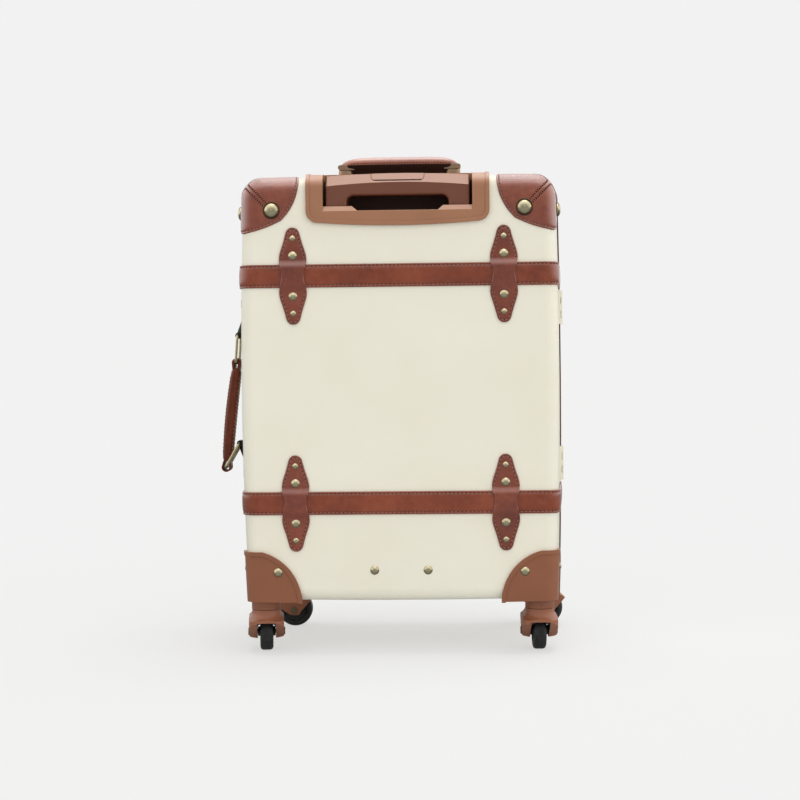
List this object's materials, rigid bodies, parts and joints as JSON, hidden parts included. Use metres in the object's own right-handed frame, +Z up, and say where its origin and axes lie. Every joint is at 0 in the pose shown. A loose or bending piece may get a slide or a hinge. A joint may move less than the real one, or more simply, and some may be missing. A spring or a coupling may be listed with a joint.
{
  "type": "hard-sided suitcase",
  "caption": "Upright hard-sided cabin suitcase with leather belts and corner caps, telescopic trolley handle, carry handles, hinged lid and swivelling casters.",
  "frame": {"origin": "on the floor below the middle of the case, in the plane of the seam between body and lid", "axes": "+X across the case towards the lid hinges, +Y from the trolley side towards the lid, +Z up"},
  "size_m": [0.404, 0.2416, 0.5674],
  "materials": {
    "shell_cream": "fine-grained cream shell with a soft sheen",
    "rim_brown": "brown extruded trim",
    "lining": "plain woven lining",
    "leather_belt": "red-brown smooth leather, stitched edges",
    "leather_keeper": "red-brown leather, stitched tapers",
    "leather_cap": "red-brown leather with soft highlights",
    "leather_handle": "dark brown padded leather",
    "brass": "antique brass",
    "corner_brown": "mid-brown moulded plastic",
    "housing_brown": "light brown moulded plastic",
    "grip_brown": "brown moulded plastic",
    "tube": "drawn tube, satin",
    "inner_plastic": "black moulded plastic",
    "bronze": "dark antique bronze",
    "wheel_black": "dark grey-black wheel"
  },
  "bodies": {
    "case_body": {"back_shell": "shell_cream", "back_rim": "rim_brown", "back_lining": "lining", "back_upper_belt": "leather_belt", "back_lower_belt": "leather_belt", "back_keepers": "leather_keeper", "back_small_rivets": "brass", "back_large_rivets": "brass", "back_top_caps": "leather_cap", "back_cap_studs": "brass", "back_bottom_corners": "corner_brown", "trolley_housing": "housing_brown", "outer_tubes": "tube", "tube_base": "inner_plastic", "tube_cover": "inner_plastic", "handle_wells": "inner_plastic", "handle_collars": "bronze", "side_brackets": "bronze", "back_hinge_leaves": "rim_brown", "hinge_pins": "bronze", "latch_catches": "brass"},
    "lid": {"front_shell": "shell_cream", "front_rim": "rim_brown", "front_lining": "lining", "front_upper_belt": "leather_belt", "front_lower_belt": "leather_belt", "front_keepers": "leather_keeper", "front_small_rivets": "brass", "front_large_rivets": "brass", "front_top_caps": "leather_cap", "front_cap_studs": "brass", "front_bottom_corners": "corner_brown", "front_hinge_leaves": "rim_brown", "latch_mounts": "brass"},
    "upper_hasp": {"upper_latch_hasp": "brass"},
    "lower_hasp": {"lower_latch_hasp": "brass"},
    "mid_stage": {"mid_tubes": "tube"},
    "inner_stage": {"inner_tubes": "tube", "trolley_grip": "grip_brown"},
    "button": {"release_button": "grip_brown"},
    "top_handle": {"top_handle_core": "bronze", "top_handle_bar": "leather_handle", "top_handle_screws": "bronze"},
    "upper_ring": {"upper_side_ring": "brass"},
    "lower_ring": {"lower_side_ring": "brass"},
    "side_bar": {"side_handle_bar": "leather_handle"},
    "back_left_fork": {"back_left_fork": "corner_brown", "back_left_axle": "bronze"},
    "back_left_wheel": {"back_left_wheel": "wheel_black"},
    "back_right_fork": {"back_right_fork": "corner_brown", "back_right_axle": "bronze"},
    "back_right_wheel": {"back_right_wheel": "wheel_black"},
    "front_left_fork": {"front_left_fork": "corner_brown", "front_left_axle": "bronze"},
    "front_left_wheel": {"front_left_wheel": "wheel_black"},
    "front_right_fork": {"front_right_fork": "corner_brown", "front_right_axle": "bronze"},
    "front_right_wheel": {"front_right_wheel": "wheel_black"}
  },
  "joints": [
    {"name": "lid_hinge", "type": "hinge", "parent": "case_body", "child": "lid", "pos_m": [0.1889, 0, 0.3], "axis": [0, 0, -1], "range_deg": [0, 180]},
    {"name": "upper_hasp_flip", "type": "hinge", "parent": "lid", "child": "upper_hasp", "pos_m": [-0.18886, 0.017, 0.4], "axis": [0, 0, -1], "range_deg": [0, 120]},
    {"name": "lower_hasp_flip", "type": "hinge", "parent": "lid", "child": "lower_hasp", "pos_m": [-0.18886, 0.017, 0.2], "axis": [0, 0, -1], "range_deg": [0, 120]},
    {"name": "mid_slide", "type": "slide", "parent": "case_body", "child": "mid_stage", "axis": [0, 0, 1], "range_m": [0, 0.23]},
    {"name": "inner_slide", "type": "slide", "parent": "mid_stage", "child": "inner_stage", "axis": [0, 0, 1], "range_m": [0, 0.23]},
    {"name": "button_press", "type": "slide", "parent": "inner_stage", "child": "button", "axis": [0, 0, -1], "range_m": [0, 0.003], "stiffness_N_per_m": 400, "springref_m": -0.003},
    {"name": "top_handle_lift", "type": "slide", "parent": "case_body", "child": "top_handle", "axis": [0, 0, 1], "range_m": [0, 0.016]},
    {"name": "upper_ring_swing", "type": "hinge", "parent": "case_body", "child": "upper_ring", "pos_m": [-0.1874, -0.057, 0.3624], "axis": [0, 1, 0], "range_deg": [0, 50]},
    {"name": "side_bar_pivot", "type": "hinge", "parent": "upper_ring", "child": "side_bar", "pos_m": [-0.18971, -0.057, 0.33098], "axis": [0, 1, 0], "range_deg": [-57, 0]},
    {"name": "lower_ring_swing", "type": "hinge", "parent": "case_body", "child": "lower_ring", "pos_m": [-0.1874, -0.057, 0.2378], "axis": [0, 1, 0], "range_deg": [0, 29]},
    {"name": "back_left_swivel", "type": "hinge", "parent": "case_body", "child": "back_left_fork", "pos_m": [-0.156, -0.089, 0.05], "axis": [0, 0, 1], "continuous": true},
    {"name": "back_left_spin", "type": "hinge", "parent": "back_left_fork", "child": "back_left_wheel", "pos_m": [-0.1577, -0.0741, 0.0215], "axis": [0.9936, 0.1132, 0], "continuous": true},
    {"name": "back_right_swivel", "type": "hinge", "parent": "case_body", "child": "back_right_fork", "pos_m": [0.156, -0.089, 0.05], "axis": [0, 0, 1], "continuous": true},
    {"name": "back_right_spin", "type": "hinge", "parent": "back_right_fork", "child": "back_right_wheel", "pos_m": [0.15561, -0.07401, 0.0215], "axis": [0.9997, 0.0262, 0], "continuous": true},
    {"name": "front_left_swivel", "type": "hinge", "parent": "lid", "child": "front_left_fork", "pos_m": [-0.156, 0.089, 0.05], "axis": [0, 0, 1], "continuous": true},
    {"name": "front_left_spin", "type": "hinge", "parent": "front_left_fork", "child": "front_left_wheel", "pos_m": [-0.141, 0.089, 0.0215], "axis": [0, -1, 0], "continuous": true},
    {"name": "front_right_swivel", "type": "hinge", "parent": "lid", "child": "front_right_fork", "pos_m": [0.156, 0.089, 0.05], "axis": [0, 0, 1], "continuous": true},
    {"name": "front_right_spin", "type": "hinge", "parent": "front_right_fork", "child": "front_right_wheel", "pos_m": [0.17089, 0.09083, 0.0215], "axis": [0.1219, -0.9925, 0], "continuous": true}
  ],
  "couplings": [
    {"joint": "side_bar_pivot", "follows": "upper_ring_swing", "ratio": -1.1204},
    {"joint": "lower_ring_swing", "follows": "upper_ring_swing", "ratio": 0.5698}
  ]
}
